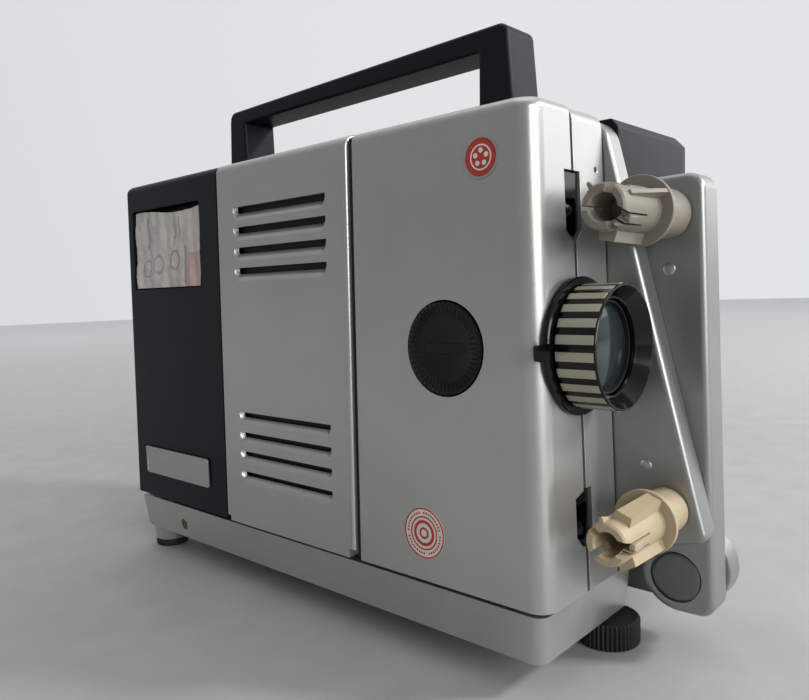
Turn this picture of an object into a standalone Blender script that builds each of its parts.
"""A portable Super 8 film projector with two folding reel arms, as separate named pieces.

Sizes are in millimetres. Places are given from the left (film) side's face, the front plane
and the table; row_point() turns them into metres in the part's own frame: +Z up, the lens
facing -Y, the film side facing -X, the origin at the middle of the overall box, at its foot.
"""

import math

import bmesh
import bpy
from mathutils import Vector

MM = 0.001

# Overall box, whose middle is the origin
LEFT_MOST = -2.7
RIGHT_MOST = 111.0
FRONT_MOST = -27.9
REAR_MOST = 239.0
MID_X = (LEFT_MOST + RIGHT_MOST) / 2
MID_Y = (FRONT_MOST + REAR_MOST) / 2

# Body
BODY_W = 111.0
BODY_L = 229.8
FOOT_H = 10.5
BASE_TOP = 25.9
PANEL_BOTTOM = 27.5
PANEL_TOP = 173.2
LEAN_LEFT = 3.4
LEAN_FRONT = 3.9
WALL = 2.0
SEAM = 0.8
COVER_END = 75.3
DOOR_END = 153.4
COVER_DEPTH = 23.4
STRIP_LEFT = 24.7
STRIP_RIGHT = 43.2
SLOT_RIGHT = 52.8
SLOT_BACK = 30.0
HOUSING_FRONT = 3.0
CHASSIS_X = 40.4

# Optics
LENS_X = 23.2
LENS_Z = 102.3
FLANGE_R = 20.5
FLANGE_FLAT = 43.3
TUBE_OPENING_R = 16.5
KNOB_OPENING_R = 18.8
GATE_Y = 39.0
FOCUS_Y = 35.7
SHAFT_X = 58.0
SPROCKET_Y = 52.0
UPPER_SPROCKET_Z = 150.0
LOWER_SPROCKET_Z = 56.0
SPROCKET_TEETH = 12
MOTOR_X = 76.0
MOTOR_Z = 62.0

# Reel arms: pivots and spindles as (y, z)
SUPPLY_PIVOT = (11.6, 162.6)
SUPPLY_SPINDLE = (-15.9, 50.9)
SUPPLY_LEFT = 43.8
SUPPLY_RIGHT = 52.2
SUPPLY_HALF = 9.8
SUPPLY_WIDE = 22.8
SUPPLY_END = 11.3
TAKEUP_PIVOT = (-14.9, 26.3)
TAKEUP_SPINDLE = (-12.9, 140.9)
TAKEUP_LEAN = 1.35
TAKEUP_LEFT = 52.8
TAKEUP_RIGHT = 64.4
TAKEUP_FRONT = -26.8
TAKEUP_REAR = -3.4
TAKEUP_TOP = 152.9
TAKEUP_FOOT = 14.7

# Rear pieces
RECESS = ((167.4, 224.0), (124.6, 161.0))
RECESS_DEPTH = 10.0
INLET_X = 32.0
INLET_Z = 44.0
FUNCTION_X = 70.0
FUNCTION_Z = 130.0

# Feet
REAR_FOOT = (12.0, 221.0)
FRONT_FOOT = (50.6, 7.4)

# Film mouths: foot, top, left end, right end
UPPER_MOUTH = (133.3, 153.8, 19.0, 28.4)
LOWER_MOUTH = (41.7, 59.1, 18.3, 28.0)

FINE = 32
PLAIN = 12


def row_point(x, y, z):
    return Vector(((x - MID_X) * MM, (y - MID_Y) * MM, z * MM))


def lean_x(z):
    return LEAN_LEFT * max(0.0, z - PANEL_BOTTOM) / (PANEL_TOP - PANEL_BOTTOM)


def lean_y(z):
    return LEAN_FRONT * max(0.0, z - PANEL_BOTTOM) / (PANEL_TOP - PANEL_BOTTOM)


# Materials: colour, roughness, metallic
FINISHES = {
    "silver_paint": ((0.52, 0.53, 0.53), 0.38, 0.7),
    "slate_plastic": ((0.035, 0.045, 0.055), 0.45, 0.0),
    "black_plastic": ((0.012, 0.012, 0.013), 0.35, 0.0),
    "beige_plastic": ((0.50, 0.46, 0.38), 0.5, 0.0),
    "steel": ((0.55, 0.56, 0.58), 0.3, 1.0),
    "brass": ((0.70, 0.55, 0.25), 0.35, 1.0),
    "aluminium": ((0.62, 0.63, 0.65), 0.4, 1.0),
    "rubber": ((0.02, 0.02, 0.02), 0.8, 0.0),
    "glass": ((0.75, 0.80, 0.85), 0.03, 0.0),
    "ceramic": ((0.80, 0.78, 0.72), 0.6, 0.0),
    "copper": ((0.72, 0.38, 0.22), 0.4, 1.0),
    "paper": ((0.66, 0.64, 0.60), 0.8, 0.0),
}


def finish(name):
    material = bpy.data.materials.get(name)
    if material is None:
        colour, roughness, metallic = FINISHES[name]
        material = bpy.data.materials.new(name)
        material.use_nodes = True
        shader = material.node_tree.nodes["Principled BSDF"]
        shader.inputs["Base Color"].default_value = (*colour, 1.0)
        shader.inputs["Roughness"].default_value = roughness
        shader.inputs["Metallic"].default_value = metallic
    return material


# Shapes: each returns (points, faces), with points as (x, y, z)
def loft(rings):
    """A closed solid through rings of equally many points, with flat ends."""
    count = len(rings[0])
    points = [point for ring in rings for point in ring]
    faces = []
    for level in range(len(rings) - 1):
        low = level * count
        for i in range(count):
            j = (i + 1) % count
            faces.append((low + i, low + j, low + count + j, low + count + i))
    faces.append(tuple(range(count))[::-1])
    faces.append(tuple(range(len(points) - count, len(points))))
    return points, faces


def turn_point(axis, centre, along, radius, angle):
    u = centre[0] + radius * math.cos(angle)
    v = centre[1] + radius * math.sin(angle)
    return {"x": (along, u, v), "y": (u, along, v), "z": (u, v, along)}[axis]


def turned(axis, centre, profile, steps=PLAIN, hollow=False):
    """A profile of (along, radius) points turned about an axis.

    A hollow profile is a closed loop off the axis; any other ends in two flat faces.
    """
    rings = []
    for along, radius in profile:
        angles = [math.tau * i / steps for i in range(steps)]
        rings.append([turn_point(axis, centre, along, radius, angle) for angle in angles])
    if not hollow:
        return loft(rings)
    points = [point for ring in rings for point in ring]
    faces = []
    for level in range(len(rings)):
        low = level * steps
        high = (level + 1) % len(rings) * steps
        for i in range(steps):
            j = (i + 1) % steps
            faces.append((low + i, low + j, high + j, high + i))
    return points, faces


def box(low, high):
    corners = [(low[0], low[1]), (high[0], low[1]), (high[0], high[1]), (low[0], high[1])]
    return loft([[(x, y, z) for x, y in corners] for z in (low[2], high[2])])


def prism(axis, outline, start, end):
    """An outline in the two other coordinates, in XYZ order, drawn out along an axis."""
    order = {"x": lambda a, u, v: (a, u, v), "y": lambda a, u, v: (u, a, v), "z": lambda a, u, v: (u, v, a)}
    place = order[axis]
    return loft([[place(along, u, v) for u, v in outline] for along in (start, end)])


def arc(centre, radius, start_deg, end_deg, steps=4):
    angles = [math.radians(start_deg + (end_deg - start_deg) * i / steps) for i in range(steps + 1)]
    return [(centre[0] + radius * math.cos(a), centre[1] + radius * math.sin(a)) for a in angles]


def rounded(low, high, radii, steps=4):
    """A rectangle's outline with its own radius at each corner: low-low, high-low, high-high, low-high."""
    a, b, c, d = radii
    return (arc((low[0] + a, low[1] + a), a, 180, 270, steps)
            + arc((high[0] - b, low[1] + b), b, 270, 360, steps)
            + arc((high[0] - c, high[1] - c), c, 0, 90, steps)
            + arc((low[0] + d, high[1] - d), d, 90, 180, steps))


def toothed(centre, root, tip, teeth):
    """The outline of a small gear: four points for each tooth."""
    outline = []
    for i in range(teeth * 4):
        angle = math.tau * (i + 0.5) / (teeth * 4)
        radius = tip if i % 4 in (1, 2) else root
        outline.append((centre[0] + radius * math.cos(angle), centre[1] + radius * math.sin(angle)))
    return outline


def merged(*shapes):
    """Several separate closed shapes as one mesh, for a cutter."""
    points, faces = [], []
    for shape_points, shape_faces in shapes:
        shift = len(points)
        points += shape_points
        faces += [tuple(i + shift for i in face) for face in shape_faces]
    return points, faces


# Objects
def add(name, shape, material=None, pivot=(MID_X, MID_Y, 0.0), smooth=True):
    points, faces = shape
    origin = row_point(*pivot)
    mesh = bpy.data.meshes.new(name)
    mesh.from_pydata([row_point(*point) - origin for point in points], [], faces)
    work = bmesh.new()
    work.from_mesh(mesh)
    bmesh.ops.recalc_face_normals(work, faces=work.faces)
    work.to_mesh(mesh)
    work.free()
    if smooth:
        mesh.shade_smooth()
        mesh.set_sharp_from_angle(angle=math.radians(35))
    piece = bpy.data.objects.new(name, mesh)
    piece.location = origin
    bpy.context.collection.objects.link(piece)
    if material:
        mesh.materials.append(finish(material))
    return piece


def boolean(piece, name, shape, operation="DIFFERENCE"):
    tool = add(name, shape)
    tool.hide_render = True
    tool.display_type = "WIRE"
    cut = piece.modifiers.new(name, "BOOLEAN")
    cut.operation = operation
    cut.object = tool
    cut.solver = "EXACT"
    cut.use_self = operation == "DIFFERENCE"


def soften(piece, width, segments=2, angle=40):
    bevel = piece.modifiers.new("rounded_edges", "BEVEL")
    bevel.width = width * MM
    bevel.segments = segments
    bevel.limit_method = "ANGLE"
    bevel.angle_limit = math.radians(angle)
    bevel.use_clamp_overlap = True


# Casing
def top_levels(radius, steps):
    """Heights up a panel with a rounded top edge, each with how far in the edge has come there."""
    levels = [(PANEL_BOTTOM, 0.0)]
    for i in range(steps + 1):
        angle = math.radians(90 * i / steps)
        levels.append((PANEL_TOP - radius + radius * math.sin(angle), radius * (1 - math.cos(angle))))
    return levels


def left_shell(x_min, y_min, y_max, front_radius, follow_front):
    """The outer form of a left-hand cover, leaning inwards, with a rounded top and front edge."""
    rings = []
    for z, inset in top_levels(3.2, 4):
        left = x_min + lean_x(z) + inset
        front = y_min + (lean_y(z) + inset if follow_front else 0.0)
        ring = arc((left + front_radius, front + front_radius), front_radius, 180, 270, 5)
        ring += [(COVER_DEPTH, front), (COVER_DEPTH, y_max), (left + 0.8, y_max), (left, y_max - 0.8)]
        rings.append([(x, y, z) for x, y in ring])
    return loft(rings)


def left_hollow(x_min, y_min, y_max):
    """The space inside a left-hand cover, open to the right and following its lean."""
    def ring(z):
        left = x_min + lean_x(z) + WALL
        return [(left, y_min, z), (COVER_DEPTH + 1, y_min, z), (COVER_DEPTH + 1, y_max, z), (left, y_max, z)]
    return loft([ring(PANEL_BOTTOM + WALL), ring(PANEL_TOP - WALL)])


def mouth(z_low, z_high, left, right):
    """The cut for a film mouth through the front walls."""
    return box((left, -2, z_low), (right, 9, z_high))


def lens_opening():
    return turned("y", (LENS_X, LENS_Z), [(-2, TUBE_OPENING_R), (9, TUBE_OPENING_R)], FINE)


def make_film_cover():
    cover = add("film_cover", left_shell(0.0, 0.0, COVER_END, 6.0, True), "silver_paint")
    boolean(cover, "film_cover_hollow", left_hollow(0.0, LEAN_FRONT + WALL, COVER_END + 1))
    knob_hole = turned("x", (FOCUS_Y, LENS_Z), [(-3, KNOB_OPENING_R), (7, KNOB_OPENING_R)], FINE)
    boolean(cover, "film_cover_lens_cut", lens_opening())
    boolean(cover, "film_cover_knob_cut", knob_hole)
    z_low, z_high, left, _ = UPPER_MOUTH
    low_z_low, low_z_high, low_left, _ = LOWER_MOUTH
    mouths = merged(mouth(z_low, z_high, left, STRIP_LEFT),
                    mouth(low_z_low, low_z_high, low_left, STRIP_LEFT))
    boolean(cover, "film_cover_mouths", mouths)


def louvre_slots():
    slots = []
    for top in (155.2, 147.3, 139.3, 131.3, 73.7, 65.6, 57.9, 49.7):
        slots.append(box((-3, 89.0, top - 3.4), (6, 141.5, top)))
    return merged(*slots)


def make_lamp_door():
    door = add("lamp_door", left_shell(-0.7, COVER_END + SEAM, DOOR_END, 1.6, False), "silver_paint")
    boolean(door, "lamp_door_hollow", left_hollow(-0.7, COVER_END - 1, DOOR_END - WALL))
    boolean(door, "lamp_door_slots", louvre_slots())


def make_centre_panel():
    """The fixed silver strip beside the film cover: up the front and back along the top."""
    inner = WALL
    front_top = lean_y(PANEL_TOP)
    radius = 5.0
    outline = [(lean_y(PANEL_BOTTOM), PANEL_BOTTOM)]
    outline += arc((front_top + radius, PANEL_TOP - radius), radius, 180, 90, 5)
    outline += [(DOOR_END, PANEL_TOP), (DOOR_END, PANEL_TOP - inner)]
    outline += arc((front_top + radius, PANEL_TOP - radius), radius - inner, 90, 180, 3)
    outline += [(inner, PANEL_BOTTOM)]
    panel = add("centre_panel", prism("x", outline, STRIP_LEFT, STRIP_RIGHT), "silver_paint")
    boolean(panel, "centre_panel_lens_cut", lens_opening())
    mouths = [mouth(low, high, COVER_DEPTH, right) for low, high, _, right in (UPPER_MOUTH, LOWER_MOUTH)]
    boolean(panel, "centre_panel_mouths", merged(*mouths))
    boolean(panel, "centre_panel_hole", turned("y", (38.3, 155.2), [(-2, 0.9), (9, 0.9)], 10))


def make_chassis_plate():
    plate = add("chassis_plate", box((CHASSIS_X, 6.5, 29), (CHASSIS_X + 2, 150, 168)), "steel")
    shutter_slot = box((CHASSIS_X - 1, 44.4, 63), (CHASSIS_X + 3, 48.8, 142.6))
    lamp_window = box((CHASSIS_X - 1, 72, 78), (CHASSIS_X + 3, 118, 127))
    sprockets = [turned("x", (SPROCKET_Y, z), [(CHASSIS_X - 1, 2.5), (CHASSIS_X + 3, 2.5)])
                 for z in (UPPER_SPROCKET_Z, LOWER_SPROCKET_Z)]
    boolean(plate, "chassis_cuts", merged(shutter_slot, lamp_window, *sprockets))


def right_outline():
    return [(SLOT_RIGHT, HOUSING_FRONT), (BODY_W - 7.6, HOUSING_FRONT), (BODY_W - 0.8, HOUSING_FRONT + 1),
            (BODY_W, HOUSING_FRONT + 1.8), (BODY_W, DOOR_END), (STRIP_RIGHT + 0.4, DOOR_END),
            (STRIP_RIGHT + 0.4, SLOT_BACK), (SLOT_RIGHT, SLOT_BACK)]


def make_right_cover():
    """The dark right-hand housing, with the slot that the supply arm folds into."""
    outline = right_outline()
    top = []
    for x, y in outline:
        top.append((x - 2.4 if x > BODY_W - 5 else x, y + 2.4 if y < SLOT_BACK - 5 else y, PANEL_TOP))
    rings = [[(x, y, z) for x, y in outline] for z in (PANEL_BOTTOM, PANEL_TOP - 3)]
    cover = add("right_cover", loft(rings + [top]), "slate_plastic")
    hollow = [(SLOT_RIGHT + 1.8, 5.2), (BODY_W - 5, 5.2), (BODY_W - 2.2, 8), (BODY_W - 2.2, DOOR_END + 2),
              (STRIP_RIGHT - 2, DOOR_END + 2), (STRIP_RIGHT - 2, SLOT_BACK + 2),
              (SLOT_RIGHT + 1.8, SLOT_BACK + 2)]
    boolean(cover, "right_cover_hollow", prism("z", hollow, PANEL_BOTTOM - 2, PANEL_TOP - WALL))
    boolean(cover, "right_cover_bracket_cut", box((SLOT_RIGHT - 1, 0, PANEL_BOTTOM - 2), (75.6, 7, 40)))
    slots = [box((BODY_W - 5, 96 + 8 * i, 60), (BODY_W + 2, 99.5 + 8 * i, 110)) for i in range(6)]
    boolean(cover, "right_cover_vents", merged(*slots))


def make_rear_cover():
    front = DOOR_END + SEAM
    rings = []
    for z, inset in top_levels(3.4, 3):
        outline = rounded((lean_x(z) + inset, front), (BODY_W - inset, BODY_L - inset),
                          (0.6, 0.6, 5.0, 2.5), 3)
        rings.append([(x, y, z) for x, y in outline])
    cover = add("rear_cover", loft(rings), "slate_plastic")
    boolean(cover, "rear_cover_hollow", box((lean_x(PANEL_TOP) + 2, front - 2, PANEL_BOTTOM - 2),
                                            (BODY_W - 2.2, BODY_L - 2.2, PANEL_TOP - 2.2)))
    (y_low, y_high), (z_low, z_high) = RECESS
    boolean(cover, "rear_cover_pocket", box((4.4, y_low - 1.6, z_low - 1.6),
                                            (RECESS_DEPTH + 2, y_high + 1.6, z_high + 1.6)), "UNION")
    boolean(cover, "rear_cover_recess", box((-2, y_low, z_low), (RECESS_DEPTH, y_high, z_high)))
    holes = merged(box((INLET_X - 11.4, 218, INLET_Z - 7.4), (INLET_X + 11.4, 232, INLET_Z + 7.4)),
                   turned("y", (58.0, INLET_Z), [(218, 4.8), (232, 4.8)]),
                   turned("y", (FUNCTION_X, FUNCTION_Z), [(218, 3.5), (232, 3.5)]),
                   *[box((82 - 8 * i, 222, 66), (85.5 - 8 * i, 232, 104)) for i in range(5)])
    boolean(cover, "rear_cover_holes", holes)


def make_base_tray():
    """The silver base: a tray with leaning sides, stepped back where the take-up arm folds down."""
    rings = []
    for z, inset in ((FOOT_H, 2.0), (BASE_TOP, 0.0)):
        rear = BODY_L - 1 - 0.3 * inset
        outline = arc((5 + inset, 6 + inset), 4, 180, 270)
        outline += [(56.4, 2 + inset), (56.4, 10.6), (BODY_W - 1 - inset, 10.6), (BODY_W - 1 - inset, rear)]
        outline += arc((4 + inset, rear - 3), 3, 90, 180)
        rings.append([(x, y, z) for x, y in outline])
    base = add("base_tray", loft(rings), "silver_paint")
    for side, x in (("left", REAR_FOOT[0]), ("right", BODY_W - REAR_FOOT[0])):
        boss = turned("z", (x, REAR_FOOT[1]), [(3.4, 7.6), (FOOT_H + 0.6, 7.2)], 24)
        boolean(base, "base_boss_" + side, boss, "UNION")
    hollow = [(4.5, 4.6), (54.4, 4.6), (54.4, 12.8), (BODY_W - 4.5, 12.8), (BODY_W - 4.5, BODY_L - 5.5),
              (9, BODY_L - 5.5), (4.5, BODY_L - 10)]
    boolean(base, "base_hollow", prism("z", hollow, FOOT_H + 2, BASE_TOP + 2))
    boolean(base, "base_screw_hole", turned("z", FRONT_FOOT, [(FOOT_H - 2, 2.4), (FOOT_H + 4, 2.4)]))


def make_handle():
    """A fixed carrying handle whose two legs widen towards the casing."""
    foot = PANEL_TOP + 0.4
    outline = [(36.0, foot), (38.4, 205.6)] + arc((42.4, 206.3), 4, 180, 90)
    outline += arc((195.8, 204.3), 4, 90, 0) + [(200.0, 203.6), (202.0, foot)]
    outline += [(187.3, foot), (187.9, 201.8), (50.8, 202.4), (51.6, foot)]
    handle = add("handle", prism("x", outline, 43.8, 61.4), "slate_plastic")
    soften(handle, 1.6)


# Small outside pieces
def make_name_plate():
    add("name_plate", box((-0.9, 166, 38.5), (-0.05, 218, 51)), "aluminium")


def make_film_guide(name, z_low, z_high, left, right):
    guide = add(name, box((left + 0.4, lean_y(z_low) + 0.6, z_low + 0.4), (right - 0.4, 16, z_high - 0.4)),
                "black_plastic")
    boolean(guide, name + "_channel", box((left + 1.4, -2, (z_low + z_high) / 2 - 3.4),
                                          (right - 1.2, 18, (z_low + z_high) / 2 + 3.4)))


def make_leaflet():
    (y_low, y_high), (z_low, z_high) = RECESS
    add("leaflet", box((5.2, y_low + 1.2, z_low + 0.5), (RECESS_DEPTH - 0.5, y_high - 1.5, z_high - 1.5)),
        "paper")


def make_feet():
    for name, x in (("rear_foot_left", REAR_FOOT[0]), ("rear_foot_right", BODY_W - REAR_FOOT[0])):
        add(name, turned("z", (x, REAR_FOOT[1]), [(0, 6.8), (0.8, 7.6), (3.05, 7.6)], 24), "rubber")
    wheel = toothed(FRONT_FOOT, 9.9, 10.5, 30)
    add("foot_wheel", prism("z", wheel, 0.0, 8.8), "rubber", (*FRONT_FOOT, 0.0))
    add("foot_screw", turned("z", FRONT_FOOT, [(9.15, 2.0), (24, 2.0)]), "steel", (*FRONT_FOOT, 9.15))


# Optics
def make_lens():
    centre = (LENS_X, LENS_Z)
    pivot = (LENS_X, 0.0, LENS_Z)
    tube = [(-8.6, 11.6), (-8.6, 13.5), (26.0, 13.5), (26.0, 11.6)]
    add("lens_tube", turned("y", centre, tube, FINE, hollow=True), "black_plastic", pivot)
    flange = add("lens_flange",
                 turned("y", centre, [(-0.2, 13.85), (-0.2, FLANGE_R), (1.1, FLANGE_R), (1.1, 13.85)],
                                       FINE, hollow=True), "black_plastic", pivot)
    boolean(flange, "lens_flange_tab",
            box((LENS_X - 25.9, -0.2, LENS_Z - 2.3), (LENS_X - 18.5, 1.1, LENS_Z + 2.3)),
            "UNION")
    boolean(flange, "lens_flange_flat",
            box((FLANGE_FLAT, -2, LENS_Z - 12), (FLANGE_FLAT + 4, 6, LENS_Z + 12)))
    ring = [(-9.2, 14.0), (-9.2, 14.6), (-13.0, 17.4), (-13.2, 17.8), (-12.9, 18.1), (-0.9, 18.1),
            (-0.6, 17.8),
            (-0.6, 14.0)]
    add("zoom_ring", turned("y", centre, ring, FINE, hollow=True), "black_plastic", pivot)
    add("front_lens", turned("y", centre, [(-8.2, 4.0), (-7.0, 11.2), (-4.5, 11.2)], 24), "glass", pivot)
    add("rear_lens", turned("y", centre, [(20.0, 11.2), (22.0, 11.2), (23.0, 4.0)], 24), "glass", pivot)
    rack = [(6.0, 22.0), (8.8, 22.0), (8.8, 24.0), (10.1, 24.0), (10.1, 25.8), (8.8, 25.8), (8.8, 46.0),
            (6.0, 46.0)]
    add("focus_rack", prism("z", rack, LENS_Z + 4.4, LENS_Z + 7.6), "brass", pivot)


def make_lens_holder():
    ring = [(8.0, 13.85), (8.0, 16.8), (17.5, 16.8), (17.5, 13.85)]
    add("lens_holder", turned("y", (LENS_X, LENS_Z), ring, 24, hollow=True), "aluminium")


def make_focus_knob():
    """A dished knob on a short shaft, with the pinion that drives the lens rack."""
    centre = (FOCUS_Y, LENS_Z)
    profile = [(3.4, 5.0), (2.0, 11.0), (1.3, 12.6), (1.3, 14.0), (1.8, 14.5), (5.2, 14.5), (5.2, 2.0),
               (6.3, 2.0),
               (6.3, 4.0), (9.4, 4.0), (9.4, 2.0), (14.0, 2.0)]
    add("focus_knob", turned("x", centre, profile, FINE), "black_plastic", (0.0, FOCUS_Y, LENS_Z))


def make_gate():
    plate = add("gate_plate", box((10.2, GATE_Y, 72), (CHASSIS_X - 0.3, GATE_Y + 1.6, 134)), "steel")
    boolean(plate, "gate_ear", box((10.2, 30.8, 95), (11.8, GATE_Y + 1, 110)), "UNION")
    aperture = box((20.3, GATE_Y - 1, LENS_Z - 2.1), (26.1, GATE_Y + 3, LENS_Z + 2.1))
    bearing = turned("x", (FOCUS_Y, LENS_Z), [(8, 2.4), (13, 2.4)])
    boolean(plate, "gate_cuts", merged(aperture, bearing))
    pressure = add("pressure_plate", box((16, GATE_Y - 2.4, 84), (30.4, GATE_Y - 0.8, 122)), "steel",
                   (LENS_X, GATE_Y, LENS_Z))
    boolean(pressure, "pressure_window",
            box((19, GATE_Y - 4, LENS_Z - 4.2), (27.4, GATE_Y + 1, LENS_Z + 4.2)))
    claw = [(26.6, 93.0), (33.0, 90.0), (39.8, 90.0), (39.8, 95.0), (34.0, 95.0), (28.6, 97.0), (26.6, 97.0)]
    add("claw", prism("y", claw, GATE_Y + 2.2, GATE_Y + 3.8), "steel")


def make_drive():
    centre = (SHAFT_X, LENS_Z)
    pivot = (SHAFT_X, 60.0, LENS_Z)
    shaft = [(36.4, 5.2), (43.4, 5.2), (43.4, 2.5), (94.0, 2.5)]
    add("main_shaft", turned("y", centre, shaft), "steel", pivot)
    blade = [(46.0, 2.9), (46.0, 40.0), (47.0, 40.0), (47.0, 6.0), (50.4, 6.0), (50.4, 2.9)]
    shutter = add("shutter", turned("y", centre, blade, 24, hollow=True), "black_plastic", pivot)
    windows = []
    for i in range(3):
        middle = 120 * i
        outer = arc(centre, 44, middle - 24, middle + 24, 3)
        inner = arc(centre, 16, middle + 24, middle - 24, 3)
        windows.append(prism("y", outer + inner, 45, 48))
    boolean(shutter, "shutter_windows", merged(*windows))
    groove = [(88.0, 2.9), (88.0, 17.4), (88.6, 17.4), (88.6, 15.0), (91.4, 15.0), (91.4, 17.4),
              (92.0, 17.4),
              (92.0, 2.9)]
    add("main_pulley", turned("y", centre, groove, 20, hollow=True), "aluminium", pivot)
    bracket = [(CHASSIS_X + 2.3, 52), (66, 52), (66, 54), (CHASSIS_X + 4.3, 54), (CHASSIS_X + 4.3, 84),
               (66, 84),
               (66, 86), (CHASSIS_X + 2.3, 86)]
    frame = add("shaft_bracket", prism("z", bracket, 92, 113.6), "steel")
    boolean(frame, "shaft_bores", turned("y", centre, [(50, 2.9), (88, 2.9)]))
    layshaft = [(52, 1.8), (54, 1.8), (54, 3.6), (60, 3.6), (60, 1.8), (99.0, 1.8), (99.0, 4.3),
                (106.6, 4.3),
                (106.6, 1.8), (146.5, 1.8), (146.5, 3.6), (153, 3.6), (153, 1.8), (158, 1.8)]
    add("layshaft", turned("z", (48.2, 40.2), layshaft), "brass", (48.2, 40.2, LENS_Z))
    for name, z in (("upper_sprocket", UPPER_SPROCKET_Z), ("lower_sprocket", LOWER_SPROCKET_Z)):
        make_sprocket(name, z)


def make_sprocket(name, z):
    """A film sprocket, its shaft through the chassis and the worm wheel on its far end, in one."""
    rings = []
    profile = [(18.5, 9.0, False), (19.3, 9.0, False), (19.3, 7.6, False), (27.2, 7.6, False),
               (27.2, 7.6, True),
               (28.2, 7.6, True), (28.2, 7.6, False), (29.0, 2.1, False), (45.2, 2.1, False),
               (45.2, 7.6, False),
               (49.2, 7.6, False)]
    steps = SPROCKET_TEETH * 2
    for along, radius, tooth in profile:
        ring = []
        for i in range(steps):
            reach = radius + (1.2 if tooth and i % 2 == 0 else 0.0)
            ring.append(turn_point("x", (SPROCKET_Y, z), along, reach, math.tau * i / steps))
        rings.append(ring)
    add(name, loft(rings), "steel", (20.0, SPROCKET_Y, z))


def make_motor():
    centre = (MOTOR_X, MOTOR_Z)
    pivot = (MOTOR_X, 100.0, MOTOR_Z)
    body = [(98.0, 2.6), (98.0, 18.0), (100.0, 20.6), (144.0, 20.6), (146.0, 18.0), (146.0, 2.6)]
    add("motor", turned("y", centre, body, 20, hollow=True), "steel")
    shaft = [(86.0, 2.0), (88.0, 2.0), (88.0, 6.0), (88.6, 6.0), (88.6, 4.0), (91.4, 4.0), (91.4, 6.0),
             (92.0, 6.0),
             (92.0, 2.0), (163.0, 2.0)]
    add("motor_shaft", turned("y", centre, shaft), "steel", pivot)
    fan = []
    for i in range(36):
        fan.append((21.5 if i % 3 else 8.0, math.tau * i / 36))
    outline = [(MOTOR_X + r * math.cos(a), MOTOR_Z + r * math.sin(a)) for r, a in fan]
    wheel = add("fan_wheel", prism("y", outline, 150.0, 160.0), "black_plastic", pivot)
    boolean(wheel, "fan_bore", turned("y", centre, [(148, 2.4), (162, 2.4)]))
    mount = [(95.4, 14.3), (115, 14.3), (115, 16.3), (97.5, 16.3), (97.5, 84), (95.4, 84)]
    plate = add("motor_mount", prism("x", mount, 58, 94), "steel")
    boolean(plate, "motor_mount_hole", turned("y", centre, [(93, 7.0), (99, 7.0)]))
    make_drive_belt()


def belt_path(a, radius_a, b, radius_b, steps=8):
    """Points round two pulleys, on the outer tangents, counter-clockwise."""
    heading = math.atan2(b[1] - a[1], b[0] - a[0])
    lean = math.acos((radius_a - radius_b) / math.dist(a, b))
    path = []
    for i in range(steps + 1):
        angle = heading + lean + (math.tau - 2 * lean) * i / steps
        path.append((a[0] + radius_a * math.cos(angle), a[1] + radius_a * math.sin(angle)))
    for i in range(steps + 1):
        angle = heading - lean + 2 * lean * i / steps
        path.append((b[0] + radius_b * math.cos(angle), b[1] + radius_b * math.sin(angle)))
    return path


def belt(axis, a, radius_a, b, radius_b, thick, start, end):
    """A flat belt: the band between an inner and an outer path round two pulleys."""
    inner = belt_path(a, radius_a, b, radius_b)
    outer = belt_path(a, radius_a + thick, b, radius_b + thick)
    order = {"x": lambda along, u, v: (along, u, v), "y": lambda along, u, v: (u, along, v)}[axis]
    rings = []
    for path, along in ((inner, start), (outer, start), (outer, end), (inner, end)):
        rings.append([order(along, u, v) for u, v in path])
    count = len(inner)
    points = [point for ring in rings for point in ring]
    faces = []
    for level in range(4):
        low = level * count
        high = (level + 1) % 4 * count
        for i in range(count):
            j = (i + 1) % count
            faces.append((low + i, low + j, high + j, high + i))
    return points, faces


def make_drive_belt():
    shape = belt("y", (SHAFT_X, LENS_Z), 15.5, (MOTOR_X, MOTOR_Z), 4.5, 1.4, 89.0, 91.0)
    add("drive_belt", shape, "rubber")


def make_lamp():
    centre = (LENS_X, LENS_Z)
    bowl = [(74.0, 15.6), (74.0, 16.6), (80.0, 15.8), (86.0, 12.6), (90.0, 8.0), (92.0, 6.6), (96.0, 6.6),
            (96.0, 5.6), (91.0, 5.6), (86.0, 11.2), (80.0, 14.6)]
    add("lamp_reflector", turned("y", centre, bowl, 24, hollow=True), "glass")
    add("lamp_capsule", turned("y", centre, [(81.0, 2.4), (82.6, 4.4), (97.6, 4.4)], 12), "glass")
    add("lamp_socket", box((14.5, 98, 96), (32, 108, 109.6)), "ceramic")
    house = [(39.9, 79.6), (5.2, 79.6), (5.2, 126), (39.9, 126), (39.9, 125.2), (6.2, 125.2), (6.2, 80.4),
             (39.9, 80.4)]
    add("lamp_house", prism("y", house, 72.4, 112), "aluminium")
    add("lamp_bracket", box((12, 108.4, 82), (CHASSIS_X - 0.3, 110, 124)), "steel")


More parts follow.
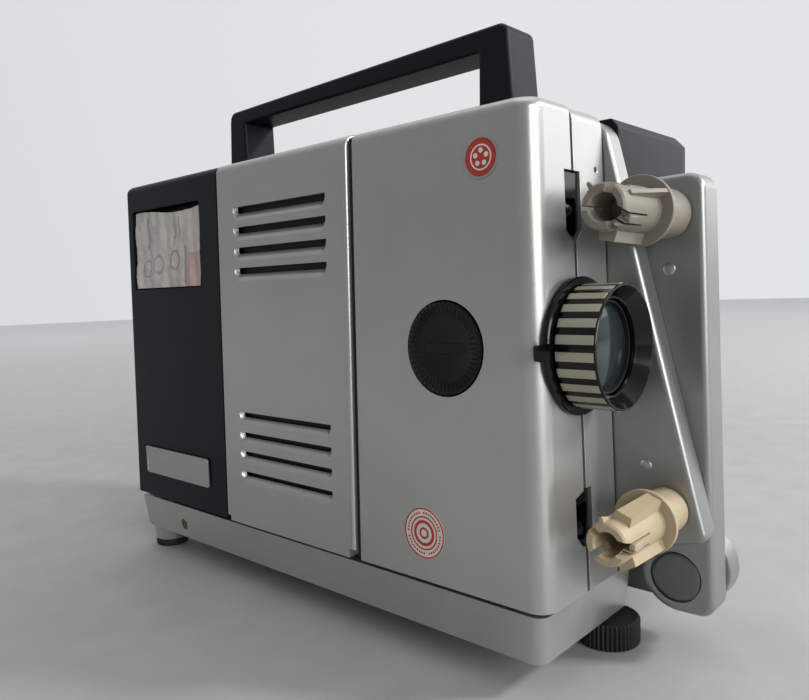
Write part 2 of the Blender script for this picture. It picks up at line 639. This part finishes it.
def make_rear_electrics():
    core = add("transformer_core", box((22, 170, 16), (78, 210, 72)), "steel")
    windows = merged(box((31, 168, 27), (41, 212, 61)), box((59, 168, 27), (69, 212, 61)))
    boolean(core, "transformer_windows", windows)
    coil = add("transformer_coil", box((31.4, 162, 27.4), (68.6, 216, 60.6)), "copper")
    boolean(coil, "coil_bore", box((40.4, 169.4, 20), (59.6, 210.6, 70)))
    inlet = add("mains_inlet",
                box((INLET_X - 11, 219, INLET_Z - 7), (INLET_X + 11, BODY_L + 0.4, INLET_Z + 7)),
                "black_plastic")
    flange = box((INLET_X - 14, BODY_L + 0.3, INLET_Z - 10), (INLET_X + 14, BODY_L + 2.3, INLET_Z + 10))
    boolean(inlet, "inlet_flange", flange, "UNION")
    boolean(inlet, "inlet_socket",
            box((INLET_X - 8, 221, INLET_Z - 4), (INLET_X + 8, BODY_L + 5, INLET_Z + 4)))
    fuse = [(219, 4.3), (BODY_L + 0.3, 4.3), (BODY_L + 0.3, 6.2), (BODY_L + 4.1, 6.2), (BODY_L + 4.7, 5.4)]
    add("fuse_cap", turned("y", (58.0, INLET_Z), fuse), "black_plastic")
    knob = [(216, 3.0), (BODY_L + 0.4, 3.0), (BODY_L + 0.4, 13.0), (REAR_MOST - 1.5, 12.4),
            (REAR_MOST, 11.0)]
    add("function_knob", turned("y", (FUNCTION_X, FUNCTION_Z), knob, 24), "black_plastic",
        (FUNCTION_X, BODY_L, FUNCTION_Z))


# Reel arms
def supply_outline(inset):
    """The supply arm from the side: round at its pivot, widening to the rear towards its free end."""
    (py, pz), (sy, sz) = SUPPLY_PIVOT, SUPPLY_SPINDLE
    length = math.dist(SUPPLY_PIVOT, SUPPLY_SPINDLE)
    along = ((sy - py) / length, (sz - pz) / length)
    across = (-along[1], along[0])
    half = SUPPLY_HALF - inset
    wide = SUPPLY_WIDE - inset
    reach = length + SUPPLY_END - inset
    corner = 3.0
    start = math.degrees(math.atan2(across[1], across[0]))
    outline = arc(SUPPLY_PIVOT, half, start, start + 180, 8)
    for u, v in ((reach - corner, -half), (reach - 0.9, 0.9 - half), (reach, corner - half),
                 (reach, wide - corner), (reach - 0.9, wide - 0.9), (reach - corner, wide)):
        outline.append((py + along[0] * u + across[0] * v, pz + along[1] * u + across[1] * v))
    return outline


def make_supply_arm():
    pivot = (SUPPLY_LEFT, *SUPPLY_PIVOT)
    rings = []
    for x, inset in ((SUPPLY_LEFT, 1.6), (SUPPLY_LEFT + 0.5, 0.5), (SUPPLY_LEFT + 1.6, 0.0),
                     (SUPPLY_RIGHT, 0.0)):
        rings.append([(x, y, z) for y, z in supply_outline(inset)])
    arm = add("supply_arm", loft(rings), "silver_paint", pivot)
    boolean(arm, "supply_arm_hollow", prism("x", supply_outline(1.8), SUPPLY_LEFT + 2.4, SUPPLY_RIGHT + 1))
    bores = merged(turned("x", SUPPLY_PIVOT, [(SUPPLY_LEFT - 2, 3.0), (SUPPLY_LEFT + 4, 3.0)]),
                   turned("x", SUPPLY_SPINDLE, [(SUPPLY_LEFT - 2, 2.9), (SUPPLY_LEFT + 4, 2.9)]))
    boolean(arm, "supply_arm_bores", bores)
    back = add("supply_arm_cover", prism("x", supply_outline(2.2), SUPPLY_RIGHT - 1.6, SUPPLY_RIGHT - 0.2),
               "steel",
               pivot)
    boolean(back, "supply_cover_bore",
            turned("x", SUPPLY_PIVOT, [(SUPPLY_RIGHT - 4, 3.0), (SUPPLY_RIGHT + 2, 3.0)]))
    pin = [(CHASSIS_X + 2.3, 2.6), (SLOT_RIGHT - 0.4, 2.6)]
    add("supply_pivot", turned("x", SUPPLY_PIVOT, pin), "steel")


def takeup_outline(inset):
    """The take-up arm from the side, leaning back a little about its pivot."""
    upright = rounded((TAKEUP_FRONT + inset, TAKEUP_FOOT + inset), (TAKEUP_REAR - inset, TAKEUP_TOP - inset),
                      (5.0 - inset, 12.0 - inset, 4.5 - inset, 5.5 - inset), 4)
    turn = math.radians(TAKEUP_LEAN)
    outline = []
    for y, z in upright:
        y, z = y - TAKEUP_PIVOT[0], z - TAKEUP_PIVOT[1]
        outline.append((TAKEUP_PIVOT[0] + y * math.cos(turn) + z * math.sin(turn),
                        TAKEUP_PIVOT[1] - y * math.sin(turn) + z * math.cos(turn)))
    return outline


def make_takeup_arm():
    pivot = (TAKEUP_LEFT, *TAKEUP_PIVOT)
    rings = []
    edges = ((TAKEUP_LEFT, 1.9), (TAKEUP_LEFT + 0.6, 0.6), (TAKEUP_LEFT + 1.9, 0.0),
             (TAKEUP_RIGHT - 0.8, 0.0),
             (TAKEUP_RIGHT, 0.8))
    for x, inset in edges:
        rings.append([(x, y, z) for y, z in takeup_outline(inset)])
    arm = add("takeup_arm", loft(rings), "silver_paint", pivot)
    boolean(arm, "takeup_arm_hollow", prism("x", takeup_outline(2.0), TAKEUP_LEFT + 3.2, TAKEUP_RIGHT + 1))
    recess = turned("x", TAKEUP_PIVOT,
                    [(TAKEUP_LEFT - 2, 8.2), (TAKEUP_LEFT + 1.6, 8.2), (TAKEUP_LEFT + 1.6, 4.4),
                                        (TAKEUP_LEFT + 5, 4.4)], 24)
    bore = turned("x", TAKEUP_SPINDLE, [(TAKEUP_LEFT - 2, 3.0), (TAKEUP_LEFT + 5, 3.0)])
    boolean(arm, "takeup_arm_bores", merged(recess, bore))
    plate = prism("x", takeup_outline(2.4), TAKEUP_RIGHT - 1.6, TAKEUP_RIGHT - 0.1)
    cover = add("takeup_arm_cover", plate, "steel", pivot)
    boolean(cover, "takeup_cover_bore",
            turned("x", TAKEUP_PIVOT, [(TAKEUP_RIGHT - 4, 4.4), (TAKEUP_RIGHT + 2, 4.4)]))
    head = [(TAKEUP_LEFT - 0.25, 7.0), (TAKEUP_LEFT + 0.1, 7.7), (TAKEUP_LEFT + 1.3, 7.7),
            (TAKEUP_LEFT + 1.3, 4.0),
            (TAKEUP_RIGHT + 0.2, 4.0)]
    add("takeup_pivot", turned("x", TAKEUP_PIVOT, head, 24), "aluminium")
    make_takeup_bracket()
    wheel = [(57.0, 4.4), (57.0, 6.0), (61.6, 6.0), (61.6, 4.4)]
    add("arm_pulley", turned("x", TAKEUP_PIVOT, wheel, hollow=True), "black_plastic", pivot)
    add("takeup_belt", belt("x", TAKEUP_PIVOT, 6.4, TAKEUP_SPINDLE, 6.4, 1.2, 58.0, 60.6), "rubber", pivot)


def make_takeup_bracket():
    outline = arc(TAKEUP_PIVOT, 13.0, 90, 270, 12)
    outline += [(10.2, 13.3), (10.2, 39.3)]
    rings = []
    for x, inset in ((TAKEUP_RIGHT + 0.5, 0.0), (73.6, 0.0), (75.0, 1.6)):
        ring = []
        for y, z in outline:
            out = 1 - inset / 13.0
            ring.append((x, TAKEUP_PIVOT[0] + (y - TAKEUP_PIVOT[0]) * out if y < 0 else y,
                         TAKEUP_PIVOT[1] + (z - TAKEUP_PIVOT[1]) * out))
        rings.append(ring)
    add("takeup_bracket", loft(rings), "silver_paint")


def make_spindle(name, centre, ends, radii, pulley):
    """A beige reel spindle: shaft, base, flange and a hollow nose."""
    tip, flange, base_end, shaft_end = ends
    nose_r, flange_r, base_r = radii
    profile = [(tip, nose_r - 1.8), (tip, nose_r - 0.3), (tip + 1.8, nose_r), (flange, nose_r),
               (flange, flange_r),
               (flange + 1.5, flange_r), (flange + 1.5, base_r), (base_end, base_r), (base_end, 2.5)]
    if pulley:
        profile += [(57.6, 2.5), (57.6, 6.0), (61.0, 6.0), (61.0, 2.5)]
    profile += [(shaft_end, 2.5), (shaft_end, 0.4), (tip + 14, 0.4), (tip + 14, nose_r - 1.8)]
    pivot = (base_end, *centre)
    add(name, turned("x", centre, profile, 20, hollow=True), "beige_plastic", pivot)


def make_spindles():
    make_spindle("supply_spindle", SUPPLY_SPINDLE, (4.0, 27.8, SUPPLY_LEFT - 0.4, 49.8), (6.15, 9.6, 7.0),
                 False)
    make_spindle("takeup_spindle", TAKEUP_SPINDLE, (10.2, 32.4, TAKEUP_LEFT - 0.4, 62.0), (6.6, 10.3, 7.7),
                 True)


def main():
    for piece in list(bpy.data.objects):
        bpy.data.objects.remove(piece)
    make_film_cover()
    make_lamp_door()
    make_centre_panel()
    make_chassis_plate()
    make_right_cover()
    make_rear_cover()
    make_base_tray()
    make_handle()
    make_name_plate()
    make_film_guide("upper_film_guide", *UPPER_MOUTH)
    make_film_guide("lower_film_guide", *LOWER_MOUTH)
    make_leaflet()
    make_feet()
    make_lens()
    make_lens_holder()
    make_focus_knob()
    make_gate()
    make_drive()
    make_motor()
    make_lamp()
    make_rear_electrics()
    make_supply_arm()
    make_takeup_arm()
    make_spindles()


main()
